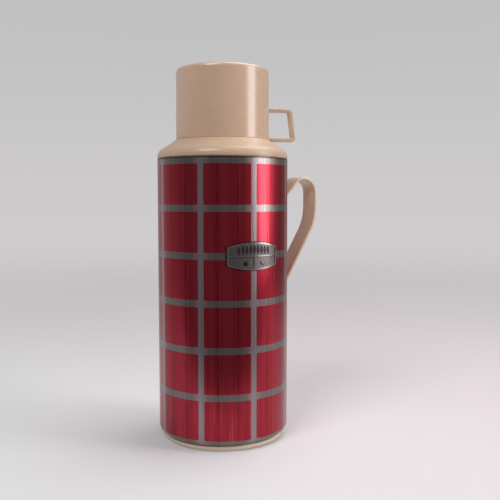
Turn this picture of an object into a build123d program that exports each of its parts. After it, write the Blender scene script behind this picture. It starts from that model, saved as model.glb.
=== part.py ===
from build123d import *
import os
from math import sqrt

# Vacuum flask of one litre with a glass filler, a printed steel jacket, a strap handle, a screw
# stopper and a screw-on drinking cup.
# Millimetres, +Z up. The origin is the centre of the base, on the surface that it stands on.
# The strap handle points along +X and the badge faces -Y.

# Levels above the floor
TOTAL_HEIGHT = 305.0
NECK_TOP_Z = 263.0
CUP_SEAT_Z = 246.7
FLOOR_TOP_Z = 237.0
GLASS_LIP_Z = 236.0
JACKET_TOP_Z = 231.0
GLASS_BOTTOM_Z = 20.0
JACKET_BOTTOM_Z = 4.4

# Clearances: between pieces that fit in or over each other, and under pieces fastened to the jacket
SLIP = 0.1
SKIN_GAP = 0.03

# Jacket
JACKET_R = 54.0
JACKET_WALL = 0.6
JACKET_CURL_R = 5.5

# Collar: skirt, rounded shoulder, steeper flare under the cup's seat, neck and its inner floor
COLLAR_WALL = 2.6
SKIRT_DEPTH = 11.0
SHADOW_GAP = 0.8
SHOULDER_Z = 236.9
SHOULDER_ROUNDING = 7.0
FLARE_R = 43.2
FLARE_Z = 243.6
SEAT_R = 39.3
NECK_R = 32.7
NECK_BORE_R = 29.5
FLOOR_BORE_R = 22.0
FLOOR_WALL = 2.2
SEAL_R = 27.5
SEAL_FOOT_Z = 223.4
SEAL_INNER_Z = 229.8

# Cup and its handle
CUP_RIM_R = 38.5
CUP_TOP_R = 38.2
CUP_WALL = 2.1
CUP_CORNER_R = 3.0
CUP_CROWN = 0.3
CUP_HANDLE_ANGLE = -15.4
CUP_HANDLE_WIDTH = 10.0
CUP_HANDLE_THICK = 2.5
CUP_HANDLE_TOP_Z = 273.9
CUP_HANDLE_TOP_X = 59.1
CUP_HANDLE_FOOT_X = 62.3
CUP_HANDLE_BENDS = [2.2, 1.5]

# Glass filler
GLASS_R = 46.0
GLASS_WALL = 1.7
GLASS_NECK_R = 21.0
GLASS_SHOULDER_Z = 211.0
GLASS_SHOULDER_SLOPE = 0.6
GLASS_ROUNDING = 20.0
VACUUM_GAP = 3.9
NECK_VACUUM_GAP = 1.3
LIP_DEPTH = 1.5
INNER_SHOULDER_Z = 207.5
INNER_ROUNDING = 17.0
SHOULDER_THINNING = 0.7
TIP_LENGTH = 6.0
TIP_ROOT_R = 4.2
TIP_END_R = 1.7
PAD_R = 5.0
PAD_Z = 60.0
BUFFER_R = 39.5
BUFFER_BORE_R = 7.0
BUFFER_RISE = 5.0
BUFFER_GAP = 0.3

# Stopper
STOPPER_R = 27.6
STOPPER_HEAD_R = 31.0
STOPPER_TOP_Z = 274.5
STOPPER_BOTTOM_Z = 231.5
STOPPER_WALL = 2.2
STOPPER_BOSS_R = 13.5
STOPPER_LIP = 0.9
STOPPER_THREAD_Z = 243.5
STOPPER_CAP_R = 27.5
STOPPER_CAP_DEPTH = 3.0
STOPPER_CAP_RIM = 0.6
FINGER_DISH_R = 18.5
FINGER_DISH_DEPTH = 1.0
GASKET_Z = 236.05
GASKET_THICK = 2.55
GASKET_R = 20.6
GRIP_RIBS = 24
GRIP_GROOVE_R = 2.3
GRIP_GROOVE_OFFSET = 1.5

# Screw threads: the lead is the rise in one turn, the depth is measured from root to crest
STOPPER_LEAD = 7.0
STOPPER_THREAD_DEPTH = 1.2
STOPPER_THREAD_TURNS = 1.75
NECK_INNER_THREAD_DEPTH = 1.3
CUP_LEAD = 5.0
CUP_THREAD_RISE = 3.2
CUP_THREAD_TURNS = 1.25
NECK_OUTER_THREAD_DEPTH = 1.5
NECK_OUTER_THREAD_TURNS = 1.75
CUP_THREAD_CREST_GAP = 1.85
PLUG_LEAD = 5.0
PLUG_THREAD_DEPTH = 1.0
PLUG_THREAD_WIDTH = 1.7
PLUG_THREAD_Z = 5.5
RING_THREAD_Z = 3.0
THREAD_BITE = 0.4

# Base
FOOT_R = 50.3
FOOT_TOP_Z = 4.1
FOOT_NECK_R = 48.3
FOOT_BORE_R = 44.0
FLANGE_THICK = 3.4
PLUG_R = 42.6
PLUG_WALL = 2.6
PLUG_DISC = 2.5
PLUG_BOTTOM_Z = 1.6
PLUG_TOP_Z = 12.0
GRIP_BAR_WIDTH = 7.0

# Strap handle
STRAP_WIDTH = 19.0
STRAP_THICK = 2.6
STRAP_EDGE = 1.0
STRAP_OUTER_X = 87.2
STRAP_TOP_Z = 216.3
STRAP_UPPER_ROOT_Z = 200.0
STRAP_BEND_Z = 180.0
STRAP_LOWER_ROOT_Z = 125.0
STRAP_RISE = 1.1
STRAP_BENDS = [6, 11, 12, 45, 10]
FOOT_PAD_HEIGHT = 17.0
FOOT_PAD_ROUNDING = 5.0
FOOT_PAD_R = JACKET_R + STRAP_THICK + 0.2
RIVET_R = 1.9
RIVET_HEAD_R = 4.2
RIVET_HEAD_HEIGHT = 1.7
RIVET_TAIL_R = 3.2
RIVET_TAIL_X = JACKET_R - 2.6
WASHER_R = 6.0
WASHER_THICK = 1.6
WASHER_OUTER_X = JACKET_R - 1.0

# Badge
BADGE_Z = 154.2
BADGE_HALF_WIDTH = 21.7
BADGE_SIDE_HALF = 7.2
BADGE_PEAK = 10.9
BADGE_CORNER_R = 1.2
BADGE_THICK = 0.8
BADGE_RELIEF = 0.45
BADGE_BORDER = 1.3
BADGE_BAR = 0.9
BADGE_PIN_Z = 148.6
BADGE_PIN_ANGLE = 7.5
BADGE_PIN_R = 0.8
BADGE_PIN_LENGTH = 2.8
BADGE_PIN_HEAD_R = 2.0
BADGE_PIN_HEAD_HEIGHT = 0.7


def lathe(*corners):
    """Solid turned about Z from corners of (radius, height) or (radius, height, rounding)."""
    face = make_face(Polyline(*[corner[:2] for corner in corners], close=True))
    for corner in corners:
        if len(corner) == 3:
            nearest = face.vertices().sort_by_distance(corner[:2])[0]
            face = fillet(nearest, corner[2])
    return revolve(Plane.XZ * face, Axis.Z)


def drum(radius, low, high):
    """Upright cylinder about Z between two levels."""
    return Pos(0, 0, low) * Cylinder(radius, high - low, align=(Align.CENTER, Align.CENTER, Align.MIN))


def tube(outer, inner, low, high):
    """Upright tube about Z between two levels."""
    return drum(outer, low, high) - drum(inner, low - 1, high + 1)


def along_x(radius, length):
    """Cylinder about X, centred on the origin."""
    return Cylinder(radius, length, rotation=(0, 90, 0))


def dome(radius, height):
    """Low domed head standing on the XY plane."""
    curve = (radius ** 2 + height ** 2) / (2 * height)
    cap = Pos(0, 0, height - curve) * Sphere(curve)
    return cap & Pos(0, 0, height / 2) * Cylinder(radius + 1, height)


def thread(root_r, depth, start_z, turns, lead, width=2.0):
    """Right-handed helical ridge: outward for a positive depth, inward for a negative one."""
    bite = THREAD_BITE if depth > 0 else -THREAD_BITE
    path = Helix(pitch=lead, height=lead * turns, radius=root_r)
    foot = width / 2
    crest = width / 4
    section = Polyline((-bite, -foot), (depth, -crest), (depth, crest), (-bite, foot), close=True)
    start = Plane(origin=path @ 0, x_dir=(1, 0, 0), z_dir=path % 0)
    return Pos(0, 0, start_z) * sweep(start * make_face(section), path=path, is_frenet=True)


def strap(route, width, thickness, edge):
    """Flat strap with rounded edges, swept along a route drawn in the XZ plane."""
    start = Plane(origin=route @ 0, x_dir=(0, 1, 0), z_dir=route % 0)
    return sweep(start * RectangleRounded(width, thickness, edge), path=route)


def bottle(radius, neck_r, bottom, shoulder_z, top, rounding):
    """Closed bottle shape: rounded bottom, sloping shoulder, straight neck."""
    neck_foot = shoulder_z + GLASS_SHOULDER_SLOPE * (radius - neck_r)
    return lathe((0, bottom), (radius, bottom, rounding), (radius, shoulder_z, rounding * 0.8),
                 (neck_r, neck_foot, 5.0), (neck_r, top), (0, top))


def outer_jacket():
    """Steel tube with its lower edge curled in under the flask."""
    inner_r = JACKET_R - JACKET_WALL
    curl_z = JACKET_BOTTOM_Z + JACKET_CURL_R
    curl_r = JACKET_R - JACKET_CURL_R
    edge_z = JACKET_BOTTOM_Z + JACKET_WALL
    outer_bend = JACKET_CURL_R * sqrt(0.5)
    inner_bend = (JACKET_CURL_R - JACKET_WALL) * sqrt(0.5)
    edges = [
        Line((JACKET_R, curl_z), (JACKET_R, JACKET_TOP_Z)),
        Line((JACKET_R, JACKET_TOP_Z), (inner_r, JACKET_TOP_Z)),
        Line((inner_r, JACKET_TOP_Z), (inner_r, curl_z)),
        ThreePointArc((inner_r, curl_z), (curl_r + inner_bend, curl_z - inner_bend), (curl_r, edge_z)),
        Line((curl_r, edge_z), (curl_r, JACKET_BOTTOM_Z)),
        ThreePointArc((curl_r, JACKET_BOTTOM_Z), (curl_r + outer_bend, curl_z - outer_bend),
                      (JACKET_R, curl_z)),
    ]
    shell = revolve(Plane.XZ * make_face(edges), Axis.Z)
    for z in rivet_levels():
        shell -= rivet_hole(z)
    for side in (-1, 1):
        shell -= badge_hole(side)
    return shell


def shoulder_collar():
    """Plastic shoulder: skirt inside the jacket, rounded shoulder, cup seat, threaded pouring neck."""
    skirt_r = JACKET_R - JACKET_WALL - SLIP
    skirt_z = JACKET_TOP_Z - SKIRT_DEPTH
    ledge_z = JACKET_TOP_Z + SHADOW_GAP
    floor_z = FLOOR_TOP_Z - FLOOR_WALL
    under_seat_z = CUP_SEAT_Z - COLLAR_WALL
    body = lathe(
        (skirt_r, skirt_z), (skirt_r, ledge_z), (JACKET_R, ledge_z, 0.25),
        (JACKET_R, SHOULDER_Z, SHOULDER_ROUNDING), (FLARE_R, FLARE_Z, 3.0), (SEAT_R, CUP_SEAT_Z, 0.4),
        (NECK_R, CUP_SEAT_Z, 0.6), (NECK_R, NECK_TOP_Z, 1.4), (NECK_BORE_R, NECK_TOP_Z, 1.2),
        (NECK_BORE_R, FLOOR_TOP_Z, 1.0), (FLOOR_BORE_R, FLOOR_TOP_Z, 0.5), (FLOOR_BORE_R, floor_z),
        (NECK_R, floor_z, 1.0), (NECK_R, under_seat_z, 1.0), (SEAT_R - 1.2, under_seat_z),
        (FLARE_R - 1.6, FLARE_Z - COLLAR_WALL), (skirt_r - COLLAR_WALL, SHOULDER_Z - COLLAR_WALL, 6.0),
        (skirt_r - COLLAR_WALL, skirt_z),
    )
    cup_side = thread(NECK_R, NECK_OUTER_THREAD_DEPTH, CUP_SEAT_Z + CUP_THREAD_RISE, NECK_OUTER_THREAD_TURNS,
                      CUP_LEAD)
    mesh_z = STOPPER_THREAD_Z + STOPPER_LEAD / 2
    bore_side = thread(NECK_BORE_R, -NECK_INNER_THREAD_DEPTH, mesh_z, STOPPER_THREAD_TURNS, STOPPER_LEAD)
    return body + cup_side + bore_side


def neck_seal_ring():
    """Rubber ring that seals the glass neck under the collar's floor."""
    top = FLOOR_TOP_Z - FLOOR_WALL - SLIP
    bore_r = GLASS_NECK_R + SLIP
    return lathe((bore_r, top), (SEAL_R, top, 0.8), (SEAL_R, SEAL_FOOT_Z, 0.8), (bore_r, SEAL_INNER_Z))


def glass_outer_flask():
    """Outer wall of the filler, with the sealed glass tip under its bottom."""
    inner_r = GLASS_R - GLASS_WALL
    shell = bottle(GLASS_R, GLASS_NECK_R, GLASS_BOTTOM_Z, GLASS_SHOULDER_Z, GLASS_LIP_Z - LIP_DEPTH,
                   GLASS_ROUNDING)
    hollow = bottle(inner_r, GLASS_NECK_R - GLASS_WALL, GLASS_BOTTOM_Z + GLASS_WALL,
                    GLASS_SHOULDER_Z - SHOULDER_THINNING, GLASS_LIP_Z, GLASS_ROUNDING - GLASS_WALL)
    root_z = GLASS_BOTTOM_Z + 0.5
    end_z = GLASS_BOTTOM_Z - TIP_LENGTH
    tip = lathe((0, root_z), (TIP_ROOT_R, root_z), (TIP_END_R, end_z, 0.8), (0, end_z))
    return shell - hollow + tip


def glass_inner_flask():
    """Inner wall of the filler, joined to the outer one by the lip."""
    outside = GLASS_R - GLASS_WALL - VACUUM_GAP
    neck_outside = GLASS_NECK_R - GLASS_WALL - NECK_VACUUM_GAP
    bottom = GLASS_BOTTOM_Z + GLASS_WALL + VACUUM_GAP + 1.0
    shell = bottle(outside, neck_outside, bottom, INNER_SHOULDER_Z, GLASS_LIP_Z - 0.2, INNER_ROUNDING)
    lip = tube(GLASS_NECK_R, neck_outside - GLASS_WALL, GLASS_LIP_Z - LIP_DEPTH, GLASS_LIP_Z)
    lip = fillet(lip.edges().group_by(Axis.Z)[-1], 0.6)
    hollow = bottle(outside - GLASS_WALL, neck_outside - GLASS_WALL, bottom + GLASS_WALL,
                    INNER_SHOULDER_Z - SHOULDER_THINNING, GLASS_LIP_Z + 5, INNER_ROUNDING - GLASS_WALL)
    return shell + lip - hollow


def glass_spacer_pads():
    """Three pads that keep the two glass walls apart."""
    outer_r = GLASS_R - GLASS_WALL
    inner_r = outer_r - VACUUM_GAP
    pads = []
    for turn in range(3):
        pad = Pos((outer_r + inner_r) / 2, 0, PAD_Z) * along_x(PAD_R, VACUUM_GAP - 2 * SLIP)
        pad &= tube(outer_r - SLIP / 2, inner_r + SLIP / 2, PAD_Z - 2 * PAD_R, PAD_Z + 2 * PAD_R)
        pads += (Rot(0, 0, 120 * turn + 30) * pad).solids()
    return Compound(children=pads)


def glass_tip_cap():
    """Soft cap over the sealing tip."""
    end = GLASS_BOTTOM_Z - TIP_LENGTH
    top = GLASS_BOTTOM_Z - 0.2
    wall = 1.5
    return lathe((0, end - 1.2), (TIP_END_R + wall, end - 1.2, 0.8), (TIP_ROOT_R + 0.2 + wall, top),
                 (TIP_ROOT_R + 0.2, top), (TIP_END_R + 0.2, end - SLIP), (0, end - SLIP))


def base_buffer():
    """Rubber dish that carries the glass and leaves its tip free."""
    low = PLUG_TOP_Z + 2 * SLIP
    high = GLASS_BOTTOM_Z + BUFFER_RISE
    block = lathe((BUFFER_BORE_R, low), (BUFFER_R, low, 1.5), (BUFFER_R, high), (BUFFER_BORE_R, high))
    return block - bottle(GLASS_R + BUFFER_GAP, GLASS_NECK_R, GLASS_BOTTOM_Z - BUFFER_GAP, GLASS_SHOULDER_Z,
                          GLASS_LIP_Z, GLASS_ROUNDING + BUFFER_GAP)


def base_ring():
    """Foot of the flask: a rim under the jacket's curled edge, a flange over it, and the plug's thread."""
    flange_r = JACKET_R - 2 * JACKET_WALL
    flange_z = JACKET_BOTTOM_Z + JACKET_CURL_R + 0.7
    top_z = flange_z + FLANGE_THICK
    ring = lathe((FOOT_BORE_R, 0, 0.8), (FOOT_R, 0, 1.5), (FOOT_R, FOOT_TOP_Z, 0.8),
                 (FOOT_NECK_R, FOOT_TOP_Z), (FOOT_NECK_R, flange_z), (flange_r, flange_z, 0.5),
                 (flange_r, top_z, 0.8), (FOOT_BORE_R, top_z))
    return ring + thread(FOOT_BORE_R, -PLUG_THREAD_DEPTH, RING_THREAD_Z, 1.4, PLUG_LEAD, PLUG_THREAD_WIDTH)


def base_plug():
    """Screw plug under the filler, with a grip bar across its recess."""
    disc_z = PLUG_TOP_Z - PLUG_DISC
    inner_r = PLUG_R - PLUG_WALL
    plug = lathe((0, disc_z), (inner_r, disc_z, 1.0), (inner_r, PLUG_BOTTOM_Z, 0.4),
                 (PLUG_R, PLUG_BOTTOM_Z, 0.6), (PLUG_R, PLUG_TOP_Z, 0.6), (0, PLUG_TOP_Z))
    bar_low = PLUG_BOTTOM_Z + SLIP
    bar_high = disc_z + 0.5
    bar = Box(2 * PLUG_R - 3, GRIP_BAR_WIDTH, bar_high - bar_low)
    bar = Pos(0, 0, (bar_low + bar_high) / 2) * fillet(bar.edges().group_by(Axis.Z)[0], 0.8)
    return plug + bar + thread(PLUG_R, PLUG_THREAD_DEPTH, PLUG_THREAD_Z, 1.0, PLUG_LEAD, PLUG_THREAD_WIDTH)


def strap_route():
    """Ear-shaped side outline of the handle, from its upper foot to its lower one."""
    root_x = JACKET_R + STRAP_THICK / 2 + SLIP
    crest_x = root_x + (STRAP_TOP_Z - STRAP_UPPER_ROOT_Z) / STRAP_RISE
    pad_run = FOOT_PAD_HEIGHT - 1
    corners = [
        (root_x, STRAP_UPPER_ROOT_Z - pad_run), (root_x, STRAP_UPPER_ROOT_Z),
        (crest_x, STRAP_TOP_Z), (STRAP_OUTER_X, STRAP_TOP_Z), (STRAP_OUTER_X, STRAP_BEND_Z),
        (root_x, STRAP_LOWER_ROOT_Z), (root_x, STRAP_LOWER_ROOT_Z - pad_run),
    ]
    points = [(x, 0, z) for x, z in corners]
    return FilletPolyline(*points, radius=STRAP_BENDS)


def rivet_levels():
    below_root = FOOT_PAD_HEIGHT / 2 + 1
    return (STRAP_UPPER_ROOT_Z - below_root, STRAP_LOWER_ROOT_Z - below_root)


def rivet_hole(z):
    return Pos(JACKET_R, 0, z) * along_x(RIVET_R + SLIP, 24)


def handle():
    """One strap with two feet that hug the jacket."""
    ribbon = strap(strap_route(), STRAP_WIDTH, STRAP_THICK, STRAP_EDGE)
    for top in (STRAP_UPPER_ROOT_Z, STRAP_LOWER_ROOT_Z):
        slab = Rectangle(STRAP_WIDTH, FOOT_PAD_HEIGHT)
        slab = fillet(slab.vertices().group_by(Axis.Y)[0], FOOT_PAD_ROUNDING)
        block = Pos(JACKET_R - 4, 0, top - FOOT_PAD_HEIGHT / 2) * extrude(Plane.YZ * slab, 12)
        block &= tube(FOOT_PAD_R, JACKET_R + SKIN_GAP, top - FOOT_PAD_HEIGHT - 1, top + 1)
        ribbon += block
    for z in rivet_levels():
        ribbon -= rivet_hole(z)
    return ribbon


def handle_rivets():
    """Two rivets, each with a domed head outside and a flat clinched head inside."""
    rivets = []
    for z in rivet_levels():
        head = Pos(FOOT_PAD_R, 0, z) * (Rot(0, 90, 0) * dome(RIVET_HEAD_R, RIVET_HEAD_HEIGHT))
        length = FOOT_PAD_R - RIVET_TAIL_X
        shank = Pos(FOOT_PAD_R - length / 2, 0, z) * along_x(RIVET_R, length + 0.2)
        tail = Pos(RIVET_TAIL_X - 0.5, 0, z) * along_x(RIVET_TAIL_R, 1.0)
        rivets += (head + shank + tail).solids()
    return Compound(children=rivets)


def handle_washers():
    """Two washers that spread the rivets' pull inside the jacket."""
    washers = []
    for z in rivet_levels():
        disc = along_x(WASHER_R, WASHER_THICK) - along_x(RIVET_R + SLIP, 2 * WASHER_THICK)
        washers += (Pos(WASHER_OUTER_X - WASHER_THICK / 2, 0, z) * disc).solids()
    return Compound(children=washers)


def badge_outline():
    """Plate with upright sides and an arched top and bottom."""
    side, peak, half = BADGE_SIDE_HALF, BADGE_PEAK, BADGE_HALF_WIDTH
    edges = [
        Line((-half, -side), (-half, side)),
        ThreePointArc((-half, side), (0, peak), (half, side)),
        Line((half, side), (half, -side)),
        ThreePointArc((half, -side), (0, -peak), (-half, -side)),
    ]
    return fillet(make_face(edges).vertices(), BADGE_CORNER_R)


def on_badge(face, inner_r, outer_r):
    """Stands a flat outline on the front of the jacket, between two radii."""
    slab = Pos(0, 0, BADGE_Z) * extrude(Plane.XZ * face, JACKET_R + 16)
    return slab & tube(outer_r, inner_r, BADGE_Z - 2 * BADGE_PEAK, BADGE_Z + 2 * BADGE_PEAK)


def at_badge_pin(side, shape):
    """Places a shape that stands on the XY plane on the jacket at one badge pin, facing outwards."""
    return Rot(0, 0, side * BADGE_PIN_ANGLE) * (Pos(0, -JACKET_R, BADGE_PIN_Z) * (Rot(90, 0, 0) * shape))


def badge_hole(side):
    return at_badge_pin(side, Cylinder(BADGE_PIN_R + SLIP / 2, 12))


def badge_plate():
    """Stamped plate with a raised border, a bar across its middle and a post below the bar."""
    seat_r = JACKET_R + SKIN_GAP
    face_r = seat_r + BADGE_THICK
    outline = badge_outline()
    border = outline - offset(outline, -BADGE_BORDER)
    divider = Rectangle(2 * BADGE_HALF_WIDTH - 1, BADGE_BAR)
    post = Pos(0, -BADGE_PEAK / 2) * Rectangle(BADGE_BAR, BADGE_PEAK - 0.6)
    relief = border + divider + post
    plate = on_badge(outline, seat_r, face_r) + on_badge(relief, face_r - SLIP, face_r + BADGE_RELIEF)
    for side in (-1, 1):
        plate -= badge_hole(side)
    return plate


def badge_pins():
    """Two domed pins that hold the badge to the jacket."""
    head_foot = BADGE_THICK + SLIP
    head = Pos(0, 0, head_foot) * dome(BADGE_PIN_HEAD_R, BADGE_PIN_HEAD_HEIGHT)
    shank = Pos(0, 0, head_foot + SLIP - BADGE_PIN_LENGTH / 2) * Cylinder(BADGE_PIN_R, BADGE_PIN_LENGTH)
    pins = []
    for side in (-1, 1):
        pins += at_badge_pin(side, head + shank).solids()
    return Compound(children=pins)


def stopper_drum_z():
    """Underside of the stopper's threaded drum, just over the gasket."""
    return GASKET_Z + GASKET_THICK + SLIP / 2


def stopper_body():
    """Hollow screw plug: boss for the gasket, threaded drum, ribbed grip."""
    drum_z = stopper_drum_z()
    drum_floor_z = drum_z + STOPPER_WALL
    boss_floor_z = STOPPER_BOTTOM_Z + STOPPER_WALL
    drum_bore_r = STOPPER_R - STOPPER_WALL
    boss_bore_r = STOPPER_BOSS_R - STOPPER_WALL
    head_z = NECK_TOP_Z + 0.6
    lip_r = STOPPER_BOSS_R + STOPPER_LIP
    lip_z = GASKET_Z - 0.15
    rim_z = STOPPER_TOP_Z - STOPPER_CAP_RIM
    recess_r = STOPPER_CAP_R + SLIP
    recess_z = STOPPER_TOP_Z - STOPPER_CAP_DEPTH
    body = lathe(
        (0, STOPPER_BOTTOM_Z), (lip_r, STOPPER_BOTTOM_Z, 1.0), (lip_r, lip_z), (STOPPER_BOSS_R, lip_z),
        (STOPPER_BOSS_R, drum_z), (STOPPER_R, drum_z, 1.0), (STOPPER_R, head_z),
        (STOPPER_HEAD_R, head_z, 1.0), (STOPPER_HEAD_R, rim_z, 1.6), (recess_r, rim_z), (recess_r, recess_z),
        (drum_bore_r, recess_z), (drum_bore_r, drum_floor_z), (boss_bore_r, drum_floor_z),
        (boss_bore_r, boss_floor_z), (0, boss_floor_z),
    )
    body += thread(STOPPER_R, STOPPER_THREAD_DEPTH, STOPPER_THREAD_Z, STOPPER_THREAD_TURNS, STOPPER_LEAD)
    groove_x = STOPPER_HEAD_R + GRIP_GROOVE_OFFSET
    groove = Pos(groove_x, 0, (head_z + STOPPER_TOP_Z) / 2) * Cylinder(GRIP_GROOVE_R, 14)
    for rib in range(GRIP_RIBS):
        body -= Rot(0, 0, 360 * rib / GRIP_RIBS) * groove
    return body


def stopper_foam_core():
    """Insulating foam that fills the stopper's drum and boss."""
    low = STOPPER_BOTTOM_Z + STOPPER_WALL + SLIP / 2
    step_z = stopper_drum_z() + STOPPER_WALL + SLIP / 2
    top = STOPPER_TOP_Z - STOPPER_CAP_DEPTH - SLIP
    boss_r = STOPPER_BOSS_R - STOPPER_WALL - SLIP / 2
    drum_r = STOPPER_R - STOPPER_WALL - SLIP / 2
    return lathe((0, low), (boss_r, low), (boss_r, step_z), (drum_r, step_z), (drum_r, top), (0, top))


def stopper_top_cap():
    """Disc that closes the stopper, with a shallow finger dish."""
    low = STOPPER_TOP_Z - STOPPER_CAP_DEPTH + SLIP / 2
    rim_z = STOPPER_TOP_Z - STOPPER_CAP_RIM + SLIP
    dish_z = STOPPER_TOP_Z - FINGER_DISH_DEPTH
    return lathe((0, low), (STOPPER_CAP_R, low), (STOPPER_CAP_R, rim_z, 0.4),
                 (STOPPER_CAP_R - 2, STOPPER_TOP_Z, 0.8), (FINGER_DISH_R + 1.5, STOPPER_TOP_Z, 0.8),
                 (FINGER_DISH_R, dish_z, 0.8), (0, dish_z))


def stopper_gasket():
    """Silicone ring that presses on the glass lip and the neck's floor."""
    bore_r = STOPPER_BOSS_R + SLIP / 2
    top = GASKET_Z + GASKET_THICK
    return lathe((bore_r, GASKET_Z), (GASKET_R, GASKET_Z, 0.8), (GASKET_R, top, 0.8), (bore_r, top))


def cup():
    """Drinking cup, mouth down over the neck, moulded in one with its open handle."""
    rim_z = CUP_SEAT_Z + SLIP
    edge_z = TOTAL_HEIGHT - CUP_CROWN
    inner_rim_r = CUP_RIM_R - CUP_WALL
    shell = lathe(
        (0, TOTAL_HEIGHT), (CUP_TOP_R, edge_z, CUP_CORNER_R), (CUP_RIM_R, rim_z, 0.5),
        (inner_rim_r, rim_z, 0.5), (CUP_TOP_R - CUP_WALL, edge_z - CUP_WALL, CUP_CORNER_R - 1),
        (0, TOTAL_HEIGHT - CUP_WALL),
    )
    ridge_r = inner_rim_r - SKIN_GAP
    ridge_depth = ridge_r - NECK_R - CUP_THREAD_CREST_GAP
    shell += thread(ridge_r, -ridge_depth, rim_z + 3.0, CUP_THREAD_TURNS, CUP_LEAD)
    half = CUP_HANDLE_THICK / 2
    arm_x = CUP_RIM_R - 1.2
    corners = [(arm_x, CUP_HANDLE_TOP_Z - half), (CUP_HANDLE_TOP_X - half, CUP_HANDLE_TOP_Z - half),
               (CUP_HANDLE_FOOT_X - half, rim_z + half), (arm_x, rim_z + half)]
    route = FilletPolyline(*[(x, 0, z) for x, z in corners], radius=CUP_HANDLE_BENDS)
    loop = strap(route, CUP_HANDLE_WIDTH, CUP_HANDLE_THICK, 0.8)
    return shell + Rot(0, 0, CUP_HANDLE_ANGLE) * loop


NODES = [
    outer_jacket, shoulder_collar, neck_seal_ring, glass_outer_flask, glass_inner_flask, glass_spacer_pads,
    glass_tip_cap, base_buffer, base_ring, base_plug, handle, handle_rivets, handle_washers, badge_plate,
    badge_pins, stopper_body, stopper_foam_core, stopper_top_cap, stopper_gasket, cup,
]

os.makedirs("parts", exist_ok=True)
for make in NODES:
    export_step(make(), f"parts/{make.__name__}.step")
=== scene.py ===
from math import cos, pi, radians, sin, sqrt

import bmesh
import bpy
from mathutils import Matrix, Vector


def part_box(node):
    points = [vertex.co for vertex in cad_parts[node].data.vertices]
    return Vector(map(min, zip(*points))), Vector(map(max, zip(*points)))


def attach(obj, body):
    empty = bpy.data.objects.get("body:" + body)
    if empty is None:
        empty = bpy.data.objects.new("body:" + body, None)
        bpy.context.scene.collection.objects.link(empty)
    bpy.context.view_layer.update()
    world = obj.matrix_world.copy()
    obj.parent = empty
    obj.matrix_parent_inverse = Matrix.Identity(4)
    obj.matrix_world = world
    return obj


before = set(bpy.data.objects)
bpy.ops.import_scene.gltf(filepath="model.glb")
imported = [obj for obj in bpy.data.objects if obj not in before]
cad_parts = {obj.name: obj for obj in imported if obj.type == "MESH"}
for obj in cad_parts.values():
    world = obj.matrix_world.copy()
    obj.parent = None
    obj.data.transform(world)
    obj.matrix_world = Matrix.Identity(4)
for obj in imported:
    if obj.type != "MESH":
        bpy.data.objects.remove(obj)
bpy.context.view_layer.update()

# ---------------------------------------------------------------- places, from the frame

JACKET_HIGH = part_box("outer_jacket")[1]
JACKET_R = JACKET_HIGH.x
BADGE_LOW, BADGE_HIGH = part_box("badge_plate")
BADGE_Z = (BADGE_LOW.z + BADGE_HIGH.z) / 2
BADGE_PEAK = (BADGE_HIGH.z - BADGE_LOW.z) / 2
PIN_LOW, PIN_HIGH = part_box("badge_pins")
PIN_HEAD_R = (PIN_HIGH.z - PIN_LOW.z) / 2
PIN_X = PIN_HIGH.x - PIN_HEAD_R
PIN_Z = (PIN_LOW.z + PIN_HIGH.z) / 2

# Badge: height and half width of its raised lines, and the arc of its two long sides
BADGE_RELIEF = 0.00045
BADGE_LINE_HALF = 0.00045
BADGE_ARCH_R = 0.0655
BADGE_FACE_R = -BADGE_LOW.y - BADGE_RELIEF

# Motif on the badge: a row of upright leaves under its arched border
LEAVES = 9
LEAF_PITCH = 0.0032
LEAF_HALF_WIDTH = 0.00115
LEAF_FOOT = 0.0013
LEAF_MARGIN = 0.0021
LEAF_STEPS = 14
LEAF_FULLNESS = 0.8
LEAF_SUNK = 0.00005
LEAF_RISE = 0.7 * BADGE_RELIEF
LEAF_BEVEL = 0.0001
LEAF_INSET = 0.00016

# Printed pattern: six rows of blocks, and a stripe every 45 degrees starting under the badge
ROWS = 6
COLUMNS = 8
ROW_PITCH = 0.03692
ROW_FOOT = 0.00664
BLOCK_HALF_HEIGHT = 0.01578
BLOCK_HALF_WIDTH = 0.01882
BLOCK_CORNER = 0.0011
BLOCK_BLUR = 0.00012
BLOCK_WANDER = 0.0005
LINE_OFFSET = 0.0079
LINE_HALF_WIDTH = 0.00036
SEAM_HALF_WIDTH = 0.0005
# Width of the painted shadow round the badge and under the shoulder
SHADOW_LINE_WIDTH = 0.0013

# Camera: where the studio's camera stands, as seen from the flask
CAMERA_AZIMUTH = -26.45
CAMERA_DISTANCE = 0.584
CAMERA_HEIGHT = 0.198
CAMERA_TURN = 2.24
CAMERA_PITCH = 4.163
CAMERA_LENS = 50.0
CAMERA_SENSOR = 36.0

# Azimuth from the camera's side of the brightest part of the room: behind the flask, to the left
BRIGHT_SIDE = -150
FLOOR_R = 4.0


def from_flask(azimuth, distance, height):
    """Point at an azimuth counted from the camera's side, positive to the camera's right."""
    turned = radians(azimuth + CAMERA_AZIMUTH)
    return Vector((distance * sin(turned), -distance * cos(turned), height))


def add_to_scene(name, data):
    thing = bpy.data.objects.new(name, data)
    bpy.context.scene.collection.objects.link(thing)
    return thing


# ---------------------------------------------------------------- shader helpers

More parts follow.
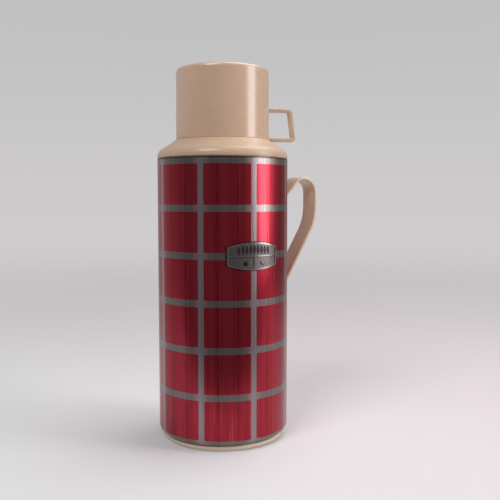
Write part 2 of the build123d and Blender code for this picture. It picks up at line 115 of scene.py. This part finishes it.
class Nodes:
    """Short calls that add nodes to one node tree."""

    def __init__(self, tree):
        self.tree = tree
        tree.nodes.clear()

    def link(self, source, target):
        self.tree.links.new(source, target)

    def put(self, value, socket):
        """Links a socket to a socket, or stores a plain value in it."""
        if isinstance(value, bpy.types.NodeSocket):
            self.link(value, socket)
        elif socket.type == "RGBA" and len(value) == 3:
            socket.default_value = (*value, 1.0)
        else:
            socket.default_value = value

    def add(self, kind, **properties):
        node = self.tree.nodes.new(kind)
        for key, value in properties.items():
            setattr(node, key, value)
        return node

    def place(self):
        """Position in the row's frame, in metres."""
        return self.add("ShaderNodeTexCoord").outputs["Object"]

    def split(self, vector):
        node = self.add("ShaderNodeSeparateXYZ")
        self.link(vector, node.inputs[0])
        return node.outputs[0], node.outputs[1], node.outputs[2]

    def math(self, operation, a, b=0.0, c=0.0, clamp=False):
        node = self.add("ShaderNodeMath", operation=operation, use_clamp=clamp)
        for value, socket in zip((a, b, c), node.inputs):
            self.put(value, socket)
        return node.outputs[0]

    def distance(self, a, b):
        """How far two numbers are apart."""
        return self.math("ABSOLUTE", self.math("SUBTRACT", a, b))

    def hypotenuse(self, a, b):
        squares = [self.math("MULTIPLY", side, side) for side in (a, b)]
        return self.math("SQRT", self.math("ADD", *squares))

    def from_middle(self, value, pitch):
        """Repeats a value at a pitch, counted from the middle of each repeat."""
        return self.math("SUBTRACT", self.math("WRAP", value, pitch), pitch / 2)

    def scaled(self, vector, x, y, z):
        node = self.add("ShaderNodeVectorMath", operation="MULTIPLY")
        self.link(vector, node.inputs[0])
        node.inputs[1].default_value = (x, y, z)
        return node.outputs[0]

    def along(self, vector, direction):
        node = self.add("ShaderNodeVectorMath", operation="DOT_PRODUCT")
        self.link(vector, node.inputs[0])
        node.inputs[1].default_value = direction
        return node.outputs["Value"]

    def noise(self, vector, scale=1.0, detail=3.0, roughness=0.5):
        node = self.add("ShaderNodeTexNoise")
        self.link(vector, node.inputs["Vector"])
        node.inputs["Scale"].default_value = scale
        node.inputs["Detail"].default_value = detail
        node.inputs["Roughness"].default_value = roughness
        return node.outputs[0]

    def ramp(self, value, low, high, to_low=0.0, to_high=1.0, smooth=True):
        """Maps low..high to to_low..to_high, held beyond them."""
        node = self.add("ShaderNodeMapRange", interpolation_type="SMOOTHSTEP" if smooth else "LINEAR")
        self.put(value, node.inputs[0])
        for number, socket in zip((low, high, to_low, to_high), node.inputs[1:5]):
            socket.default_value = number
        return node.outputs[0]

    def mix(self, factor, a, b):
        """Mixes two colours."""
        node = self.add("ShaderNodeMix", data_type="RGBA")
        for value, socket in ((factor, node.inputs[0]), (a, node.inputs[6]), (b, node.inputs[7])):
            self.put(value, socket)
        return node.outputs[2]


class Surface(Nodes):
    """A material with one Principled shader, whose inputs are named in small letters."""

    def __init__(self, name, **settings):
        self.material = bpy.data.materials.new(name)
        self.material.use_nodes = True
        super().__init__(self.material.node_tree)
        self.shader = self.add("ShaderNodeBsdfPrincipled")
        out = self.add("ShaderNodeOutputMaterial")
        self.link(self.shader.outputs[0], out.inputs[0])
        self.sockets = {socket.name.lower(): socket for socket in reversed(self.shader.inputs)}
        for key, value in settings.items():
            self.set(key.replace("_", " "), value)

    def set(self, name, value):
        self.put(value, self.sockets[name])

    def bump(self, height, distance, strength):
        node = self.add("ShaderNodeBump")
        node.inputs["Strength"].default_value = strength
        node.inputs["Distance"].default_value = distance
        self.link(height, node.inputs["Height"])
        self.set("normal", node.outputs[0])


def srgb(red, green, blue):
    """Linear colour from 0-255 display values."""
    def linear(value):
        value /= 255
        return value / 12.92 if value <= 0.04045 else ((value + 0.055) / 1.055) ** 2.4
    return linear(red), linear(green), linear(blue)


def shade(colour, factor, lift=0.0):
    """The colour made darker or lighter."""
    return tuple(min(1.0, factor * part + lift) for part in colour)


# ---------------------------------------------------------------- jacket

def block_mask(n, place, across, z):
    """1 on a red block and 0 on bare tin: rounded corners, slightly uneven edges."""
    row = n.from_middle(n.math("SUBTRACT", z, ROW_FOOT), ROW_PITCH)
    wander = n.math("MULTIPLY", n.math("SUBTRACT", n.noise(place, 260.0, 2.0), 0.5), BLOCK_WANDER)
    past_edge = []
    for offset, half in ((across, BLOCK_HALF_WIDTH), (n.math("ABSOLUTE", row), BLOCK_HALF_HEIGHT)):
        past = n.math("SUBTRACT", n.math("ADD", offset, wander), half - BLOCK_CORNER)
        past_edge.append(n.math("MAXIMUM", past, 0.0))
    corner = n.hypotenuse(*past_edge)
    block = n.ramp(corner, BLOCK_CORNER - BLOCK_BLUR, BLOCK_CORNER + BLOCK_BLUR, 1.0, 0.0)
    return n.math("MULTIPLY", block, n.math("LESS_THAN", z, ROW_FOOT + ROWS * ROW_PITCH))


def painted_shadow_mask(n, x, y, z):
    """Painted shadow: a dark rim round the badge, and a dark top edge under the shoulder."""
    arch = n.math("SQRT", n.math("SUBTRACT", BADGE_ARCH_R ** 2, n.math("MULTIPLY", x, x)))
    arch = n.math("ADD", arch, BADGE_PEAK - BADGE_ARCH_R)
    above = n.math("SUBTRACT", n.distance(z, BADGE_Z), arch)
    beside = n.math("SUBTRACT", n.math("ABSOLUTE", x), BADGE_HIGH.x)
    shadow_round_badge = n.ramp(n.math("MAXIMUM", above, beside), 0.0002, SHADOW_LINE_WIDTH, 0.8, 0.0)
    shadow_round_badge = n.math("MULTIPLY", shadow_round_badge, n.math("LESS_THAN", y, 0.0))
    shadow_under_shoulder = n.ramp(z, JACKET_HIGH.z - SHADOW_LINE_WIDTH, JACKET_HIGH.z - 0.0006, 0.0, 0.85)
    return n.math("MAXIMUM", shadow_round_badge, shadow_under_shoulder)


def jacket_material():
    """Brushed tinplate printed with translucent red blocks.

    Two worn dark lines run down each column, bright painted glints (a painted reflection of the floor) show
    low down, the bands between the rows are greyer than the stripes, everything is painted darker low
    down (painted shade where the floor is mirrored), and a soldered seam is at +X.
    """
    n = Surface("jacket_print", metallic=1.0, anisotropic=0.5, coat_weight=0.27, coat_roughness=0.1)
    place = n.place()
    x, y, z = n.split(place)
    angle = n.math("ARCTAN2", y, x)
    column = n.from_middle(angle, 2 * pi / COLUMNS)
    across = n.math("ABSOLUTE", n.math("MULTIPLY", column, JACKET_R))
    block = block_mask(n, place, across, z)
    from_seam = n.math("ABSOLUTE", n.math("MULTIPLY", angle, JACKET_R))
    seam = n.ramp(from_seam, SEAM_HALF_WIDTH * 0.6, SEAM_HALF_WIDTH, 1.0, 0.0)

    fine = n.noise(n.scaled(place, 1300, 1300, 4), 1.0, 3.0, 0.6)
    broad = n.noise(n.scaled(place, 210, 210, 3), 1.0, 2.0)
    glints = n.noise(n.scaled(place, 1000, 1000, 14), 1.0, 1.0)
    worn = n.ramp(n.noise(n.scaled(place, 120, 120, 60), 1.0, 2.0), 0.3, 0.65, 0.35, 1.0)
    line = n.ramp(n.distance(across, LINE_OFFSET), LINE_HALF_WIDTH * 0.5, LINE_HALF_WIDTH * 1.5, 1.0, 0.0)
    line = n.math("MULTIPLY", line, worn)
    # Painted reflection: bright glints on the red low down, where the floor is mirrored
    painted_glint = n.math("MULTIPLY", n.ramp(glints, 0.60, 0.72), n.ramp(z, 0.012, 0.060, 1.0, 0.10))

    red = n.mix(n.ramp(broad, 0.3, 0.7), srgb(176, 42, 57), srgb(198, 53, 75))
    red = n.mix(n.ramp(fine, 0.4, 0.75, 0.0, 0.4), red, srgb(138, 24, 36))
    red = n.mix(n.math("MULTIPLY", painted_glint, 0.8), red, srgb(240, 100, 106))
    red = n.mix(n.math("MULTIPLY", line, 0.9), red, srgb(52, 2, 8))
    tin = n.mix(n.ramp(broad, 0.3, 0.7), srgb(171, 154, 158), srgb(187, 169, 174))
    tin = n.mix(n.ramp(fine, 0.4, 0.75, 0.0, 0.3), tin, srgb(134, 125, 126))
    band = n.ramp(across, BLOCK_HALF_WIDTH - 0.006, BLOCK_HALF_WIDTH + 0.002, 0.62, 0.0)
    tin = n.mix(band, tin, srgb(110, 112, 104))
    tin = n.mix(n.math("MULTIPLY", line, 0.4), tin, srgb(76, 74, 72))
    printed = n.mix(n.math("MULTIPLY", seam, 0.7), n.mix(block, tin, red), srgb(60, 56, 56))
    # Painted shade: the print is darkened low down, where the floor is mirrored in it
    dim_tone = n.mix(block, srgb(62, 54, 54), srgb(74, 8, 16))
    printed = n.mix(n.ramp(z, 0.02, 0.17, 0.34, 0.0), printed, dim_tone)
    # Painted shadow: round the badge and under the shoulder the print is mixed toward dark brown
    n.set("base color", n.mix(painted_shadow_mask(n, x, y, z), printed, srgb(34, 22, 22)))
    rough = n.math("ADD", n.ramp(block, 0.0, 1.0, 0.29, 0.25), n.ramp(fine, 0.3, 0.7, -0.04, 0.08))
    n.set("roughness", rough)
    n.set("tangent", n.add("ShaderNodeTangent", direction_type="RADIAL", axis="Z").outputs[0])
    height = n.math("ADD", n.math("MULTIPLY", fine, 0.6), n.math("MULTIPLY", block, 0.5))
    height = n.math("ADD", height, n.math("MULTIPLY", seam, 3.0))
    height = n.math("SUBTRACT", height, n.math("MULTIPLY", line, 0.6))
    n.bump(height, 0.00008, 0.3)
    return n.material


# ---------------------------------------------------------------- other materials

def moulded_plastic(name, colour, dim_tone, roughness, grain=0.00004, low_grime=False, coat=0.7):
    """Glossy moulded plastic: faint mottling, orange-peel surface, painted contact shade low down if asked.
    """
    n = Surface(name, coat_weight=coat, coat_roughness=0.17, specular_ior_level=0.5,
                subsurface_weight=0.06, subsurface_scale=0.004, subsurface_radius=(1.0, 0.6, 0.4))
    place = n.place()
    mottle = n.noise(place, 30.0, 2.0)
    specks = n.noise(place, 1100.0, 1.0)
    scuffs = n.noise(n.scaled(place, 160, 160, 1500), 1.0, 2.0)
    body = n.mix(n.ramp(mottle, 0.35, 0.7, 0.0, 0.1), colour, dim_tone)
    body = n.mix(n.ramp(specks, 0.74, 0.8, 0.0, 0.3), body, shade(dim_tone, 0.5))
    body = n.mix(n.ramp(scuffs, 0.66, 0.76, 0.0, 0.1), body, shade(colour, 1.25))
    if low_grime:
        # Painted shade: the lowest 6 mm are darkened where the piece stands on the floor
        height = n.split(place)[2]
        body = n.mix(n.ramp(height, 0.0, 0.006, 0.5, 0.0), body, shade(dim_tone, 0.35))
    n.set("base color", body)
    n.set("roughness", n.ramp(n.noise(place, 130.0), 0.3, 0.7, roughness - 0.03, roughness + 0.05))
    n.bump(n.noise(place, 420.0, 2.0), grain, 0.08)
    return n.material


def satin_metal(name, colour, dark, roughness, brushed):
    """Rolled or stamped metal with faint tarnish: fine lines if brushed, fine grains if not."""
    n = Surface(name, metallic=1.0)
    place = n.place()
    grain = n.noise(n.scaled(place, 300, 300, 5200)) if brushed else n.noise(place, 700.0)
    tarnish = n.noise(place, 420.0)
    body = n.mix(n.ramp(grain, 0.35, 0.7, 0.0, 0.5), colour, dark)
    body = n.mix(n.ramp(tarnish, 0.55, 0.8, 0.0, 0.5), body, shade(dark, 0.5))
    n.set("base color", body)
    n.set("roughness", n.ramp(tarnish, 0.3, 0.7, roughness - 0.06, roughness + 0.1))
    n.bump(grain, 0.00003, 0.4)
    return n.material


def silvered_glass():
    """Glass seen against its own silvering, slightly uneven."""
    n = Surface("silvered_glass", metallic=0.85, coat_weight=1.0, coat_roughness=0.02)
    place = n.place()
    cloud = n.noise(place, 35.0, 4.0)
    n.set("base color", n.mix(n.ramp(cloud, 0.35, 0.7), srgb(214, 216, 218), srgb(184, 188, 192)))
    n.set("roughness", n.ramp(cloud, 0.3, 0.7, 0.04, 0.12))
    n.bump(n.noise(place, 60.0, 2.0), 0.0002, 0.25)
    return n.material


def soft_rubber(name, colour):
    """Matt rubber with a pale bloom in patches."""
    n = Surface(name, specular_ior_level=0.35)
    place = n.place()
    bloom = n.noise(place, 90.0, 5.0)
    n.set("base color", n.mix(n.ramp(bloom, 0.4, 0.75), colour, shade(colour, 1.7, 0.01)))
    n.set("roughness", n.ramp(bloom, 0.3, 0.7, 0.55, 0.78))
    n.bump(n.noise(place, 1400.0), 0.00005, 0.5)
    return n.material


def open_foam():
    """Pale foam with small round cells."""
    n = Surface("foam", specular_ior_level=0.2)
    cells = n.add("ShaderNodeTexVoronoi")
    n.link(n.place(), cells.inputs["Vector"])
    cells.inputs["Scale"].default_value = 650.0
    walls = n.ramp(cells.outputs["Distance"], 0.1, 0.6)
    n.set("base color", n.mix(walls, srgb(236, 230, 214), srgb(196, 188, 168)))
    n.set("roughness", n.ramp(walls, 0.0, 1.0, 0.8, 0.95))
    n.bump(walls, 0.0004, 0.6)
    return n.material


def pressed_fibre():
    """Felt-like board with short fibres."""
    n = Surface("pressed_fibre", specular_ior_level=0.15, sheen_weight=0.3)
    fibres = n.noise(n.scaled(n.place(), 900, 2600, 1400), 1.0, 4.0)
    n.set("base color", n.mix(n.ramp(fibres, 0.3, 0.7), srgb(216, 208, 190), srgb(176, 166, 146)))
    n.set("roughness", n.ramp(fibres, 0.3, 0.7, 0.8, 0.95))
    n.bump(fibres, 0.0003, 0.7)
    return n.material


def badge_metal():
    """Stamped plate: polished where it stands up, duller in its fields, with painted shade beside its two
    inner lines.
    """
    n = Surface("badge_metal", metallic=1.0)
    place = n.place()
    x, y, z = n.split(place)
    radius = n.hypotenuse(x, y)
    raised = n.ramp(radius, BADGE_FACE_R + 0.3 * BADGE_RELIEF, BADGE_FACE_R + 0.9 * BADGE_RELIEF)
    grain = n.noise(place, 1500.0)
    tarnish = n.noise(place, 260.0)
    field = n.mix(n.ramp(grain, 0.3, 0.7), srgb(126, 118, 121), srgb(114, 106, 109))
    polished = n.mix(n.ramp(grain, 0.3, 0.7), srgb(170, 160, 160), srgb(152, 143, 144))
    # Painted shade in the creases under the raised bar and beside the post
    under_bar = n.distance(z, BADGE_Z - 1.6 * BADGE_LINE_HALF)
    beside_post = n.distance(x, -1.6 * BADGE_LINE_HALF)
    beside_post = n.math("MAXIMUM", beside_post, n.math("SUBTRACT", z, BADGE_Z))
    nearest = n.math("MINIMUM", under_bar, beside_post)
    crease_shade = n.ramp(nearest, BADGE_LINE_HALF * 0.5, BADGE_LINE_HALF, 0.75, 0.0)
    body = n.mix(raised, n.mix(crease_shade, field, srgb(58, 52, 54)), polished)
    n.set("base color", n.mix(n.ramp(tarnish, 0.5, 0.8, 0.0, 0.3), body, srgb(72, 66, 64)))
    rough = n.math("ADD", n.ramp(raised, 0.0, 1.0, 0.4, 0.26), n.ramp(grain, 0.3, 0.7, -0.03, 0.04))
    n.set("roughness", rough)
    n.bump(grain, 0.00003, 0.3)
    return n.material


def pin_metal():
    """Dark left pin, and a light right pin with a dark ring and centre."""
    n = Surface("pin_metal", metallic=1.0)
    place = n.place()
    x, _, z = n.split(place)
    side = n.math("SUBTRACT", n.math("ABSOLUTE", x), PIN_X)
    out = n.hypotenuse(side, n.math("SUBTRACT", z, PIN_Z))
    ring = n.ramp(n.distance(out, PIN_HEAD_R * 0.72), 0.00022, 0.0004, 1.0, 0.0)
    centre = n.ramp(out, 0.0004, 0.0006, 1.0, 0.0)
    grain = n.noise(place, 1500.0, 2.0)
    light = n.mix(n.ramp(grain, 0.3, 0.7), srgb(184, 176, 180), srgb(160, 152, 156))
    light = n.mix(n.math("MAXIMUM", ring, centre), light, srgb(58, 54, 56))
    dark = n.mix(n.ramp(grain, 0.3, 0.7), srgb(58, 58, 54), srgb(40, 40, 38))
    n.set("base color", n.mix(n.math("GREATER_THAN", x, 0.0), dark, light))
    n.set("roughness", n.ramp(grain, 0.3, 0.7, 0.34, 0.46))
    n.bump(n.math("SUBTRACT", grain, ring), 0.00005, 0.4)
    return n.material


def motif_enamel():
    """Dark enamel with a faint orange-peel surface."""
    n = Surface("motif_enamel", coat_weight=0.1, coat_roughness=0.2, specular_ior_level=0.3)
    cloud = n.noise(n.place(), 900.0, 2.0)
    n.set("base color", n.mix(n.ramp(cloud, 0.3, 0.7), srgb(34, 26, 30), srgb(48, 40, 44)))
    n.set("roughness", n.ramp(cloud, 0.3, 0.7, 0.3, 0.42))
    n.bump(cloud, 0.00003, 0.4)
    return n.material


def cream(name, colour, dim_tone, roughness, **extras):
    """Moulded plastic whose colours are given as display values."""
    return moulded_plastic(name, srgb(*colour), srgb(*dim_tone), roughness, **extras)


MATERIALS = {
    "outer_jacket": jacket_material(),
    "cup": cream("cup_plastic", (220, 188, 162), (210, 177, 151), 0.27),
    "shoulder_collar": cream("collar_plastic", (210, 180, 153), (200, 169, 143), 0.42, coat=0.35),
    "handle": cream("handle_plastic", (219, 193, 163), (208, 182, 153), 0.3),
    "base_ring": cream("base_plastic", (246, 228, 204), (236, 216, 190), 0.38, low_grime=True),
    "base_plug": cream("plug_plastic", (212, 186, 152), (198, 170, 138), 0.42, grain=0.00008),
    "stopper_body": cream("stopper_plastic", (226, 206, 178), (210, 188, 160), 0.4),
    "stopper_top_cap": cream("stopper_cap_plastic", (228, 208, 180), (212, 190, 162), 0.38),
    "badge_plate": badge_metal(),
    "badge_pins": pin_metal(),
    "handle_rivets": satin_metal("rivet_metal", srgb(196, 192, 186), srgb(160, 156, 150), 0.3, False),
    "handle_washers": satin_metal("washer_metal", srgb(186, 182, 176), srgb(150, 146, 140), 0.35, True),
    "glass_outer_flask": silvered_glass(),
    "glass_inner_flask": silvered_glass(),
    "glass_spacer_pads": pressed_fibre(),
    "glass_tip_cap": soft_rubber("tip_rubber", srgb(62, 58, 56)),
    "base_buffer": soft_rubber("buffer_rubber", srgb(78, 72, 70)),
    "neck_seal_ring": soft_rubber("seal_rubber", srgb(58, 54, 52)),
    "stopper_gasket": soft_rubber("gasket_silicone", srgb(198, 190, 176)),
    "stopper_foam_core": open_foam(),
}
for node, material in MATERIALS.items():
    for material_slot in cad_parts[node].material_slots:
        material_slot.material = material


# ---------------------------------------------------------------- badge motif

def leaf_outline(low, high):
    """Points (across, up) round an upright leaf, pointed at both ends."""
    right = []
    for step in range(LEAF_STEPS + 1):
        part = step / LEAF_STEPS
        right.append((LEAF_HALF_WIDTH * sin(pi * part) ** LEAF_FULLNESS, low + (high - low) * part))
    left = [(-across, up) for across, up in reversed(right[1:-1])]
    return right + left


def raise_on_badge(maker, outline, centre_x):
    """Adds one solid island standing on the badge's face, with its edge eased in at the top."""
    low, high = min(up for _, up in outline), max(up for _, up in outline)
    middle = (low + high) / 2
    foot_r = BADGE_FACE_R - LEAF_SUNK
    top_r = BADGE_FACE_R + LEAF_RISE
    rings = []
    for radius, inset in ((foot_r, 0.0), (top_r - LEAF_BEVEL, 0.0), (top_r, LEAF_INSET)):
        narrow = 1 - inset / LEAF_HALF_WIDTH
        short = 1 - inset / (high - middle)
        ring = []
        for across, up in outline:
            x = centre_x + across * narrow
            z = BADGE_Z + middle + (up - middle) * short
            ring.append(maker.verts.new((x, -sqrt(radius ** 2 - x ** 2), z)))
        rings.append(ring)
    count = len(outline)
    for under, over in zip(rings, rings[1:]):
        for i in range(count):
            j = (i + 1) % count
            maker.faces.new((under[i], under[j], over[j], over[i]))
    maker.faces.new(rings[-1])
    maker.faces.new(rings[0][::-1])


def badge_motif():
    """Row of nine enamelled leaves in the badge's upper field, taller in the middle."""
    maker = bmesh.new()
    for index in range(LEAVES):
        x = (index - (LEAVES - 1) / 2) * LEAF_PITCH
        arch = BADGE_PEAK - BADGE_ARCH_R + sqrt(BADGE_ARCH_R ** 2 - x ** 2)
        raise_on_badge(maker, leaf_outline(LEAF_FOOT, arch - LEAF_MARGIN), x)
    bmesh.ops.recalc_face_normals(maker, faces=maker.faces)
    mesh = bpy.data.meshes.new("badge_motif")
    maker.to_mesh(mesh)
    maker.free()
    mesh.materials.append(motif_enamel())
    motif = add_to_scene("badge_motif", mesh)
    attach(motif, "flask")


badge_motif()


# ---------------------------------------------------------------- studio

def floor_material():
    """Pale paper, painted lighter on the left and pinker on the right, seen from above only, that fades
    into the backdrop far out.

    On the camera's side of the flask only the camera sees it, so the jacket mirrors a darker room there.
    """
    n = Surface("studio_paper", roughness=0.75, specular_ior_level=0.2)
    place = n.place()
    x, y, _ = n.split(place)
    grain = n.noise(place, 900.0)
    # Painted light: the paper is lighter and greyer on the left and pinker on the right
    paper_with_painted_light = n.mix(n.ramp(x, -0.25, 0.35), srgb(238, 241, 242), srgb(233, 224, 230))
    n.set("base color", n.mix(n.ramp(grain, 0.3, 0.7, 0.0, 0.04), paper_with_painted_light, srgb(200, 196, 198)))
    far = n.math("POWER", n.ramp(n.hypotenuse(x, y), 0.1, 3.0, 1.0, 0.0, smooth=False), 3.2)
    near = n.ramp(n.along(place, -from_flask(0, 1, 0)), -0.27, -0.14)
    seen = n.add("ShaderNodeLightPath").outputs["Is Camera Ray"]
    under = n.add("ShaderNodeNewGeometry").outputs["Backfacing"]
    opaque = n.math("MULTIPLY", far, n.math("MAXIMUM", near, seen))
    n.set("alpha", n.math("SUBTRACT", opaque, under, clamp=True))
    return n.material


def studio_floor():
    mesh = bpy.data.meshes.new("studio_floor")
    maker = bmesh.new()
    bmesh.ops.create_circle(maker, cap_ends=True, segments=96, radius=FLOOR_R)
    maker.to_mesh(mesh)
    maker.free()
    mesh.materials.append(floor_material())
    add_to_scene("studio_floor", mesh)


def soft_box(name, azimuth, distance, height, width, tall, power, colour, aim):
    """Rectangular light facing the flask's axis at the height given by aim."""
    data = bpy.data.lights.new(name, "AREA")
    data.shape = "RECTANGLE"
    data.size = width
    data.size_y = tall
    data.energy = power
    data.color = colour
    light = add_to_scene(name, data)
    light.location = from_flask(azimuth, distance, height)
    light.rotation_euler = (Vector((0, 0, aim)) - light.location).to_track_quat("-Z", "Y").to_euler()


def studio_lights():
    """Tall key light at the right, for the streak down the flask, and two wide ones above."""
    soft_box("key_box", azimuth=74.5, distance=1.0, height=0.4775, width=0.41, tall=0.845, power=5.5,
             colour=(1.0, 0.97, 0.95), aim=0.2)
    soft_box("front_box", azimuth=-30, distance=0.9, height=1.15, width=0.6, tall=0.5, power=8.0,
             colour=(1.0, 0.96, 0.97), aim=0.15)
    soft_box("top_box", azimuth=120, distance=0.5, height=1.25, width=0.9, tall=0.9, power=7.2,
             colour=(1.0, 0.98, 0.98), aim=0.1)


def studio_world():
    """Pale backdrop for the camera, and for the light a room that is brighter on its bright side."""
    world = bpy.data.worlds.new("studio")
    bpy.context.scene.world = world
    world.use_nodes = True
    n = Nodes(world.node_tree)
    direction = n.add("ShaderNodeTexCoord").outputs["Generated"]
    up = n.split(direction)[2]
    backdrop = n.mix(n.ramp(up, -0.10, 0.34), srgb(207, 204, 206), srgb(191, 191, 192))
    strength = n.ramp(n.along(direction, from_flask(BRIGHT_SIDE, 1, 0)), 0.1, 1.0, 0.17, 0.42)
    choose = n.add("ShaderNodeMixShader")
    n.link(n.add("ShaderNodeLightPath").outputs["Is Camera Ray"], choose.inputs[0])
    for colour, level, socket in (((1.0, 0.985, 0.97), strength, choose.inputs[1]),
                                  (backdrop, 1.0, choose.inputs[2])):
        background = n.add("ShaderNodeBackground")
        n.put(colour, background.inputs[0])
        n.put(level, background.inputs[1])
        n.link(background.outputs[0], socket)
    n.link(choose.outputs[0], n.add("ShaderNodeOutputWorld").inputs[0])


def studio_camera():
    data = bpy.data.cameras.new("studio_camera")
    data.lens = CAMERA_LENS
    data.sensor_width = CAMERA_SENSOR
    data.clip_start = 0.01
    data.clip_end = 50.0
    camera = add_to_scene("studio_camera", data)
    camera.location = from_flask(0, CAMERA_DISTANCE, CAMERA_HEIGHT)
    camera.rotation_euler = (radians(90 - CAMERA_PITCH), 0.0, radians(CAMERA_AZIMUTH - CAMERA_TURN))
    bpy.context.scene.camera = camera


studio_camera()
studio_floor()
studio_world()
studio_lights()
bpy.context.scene.view_settings.view_transform = "Standard"
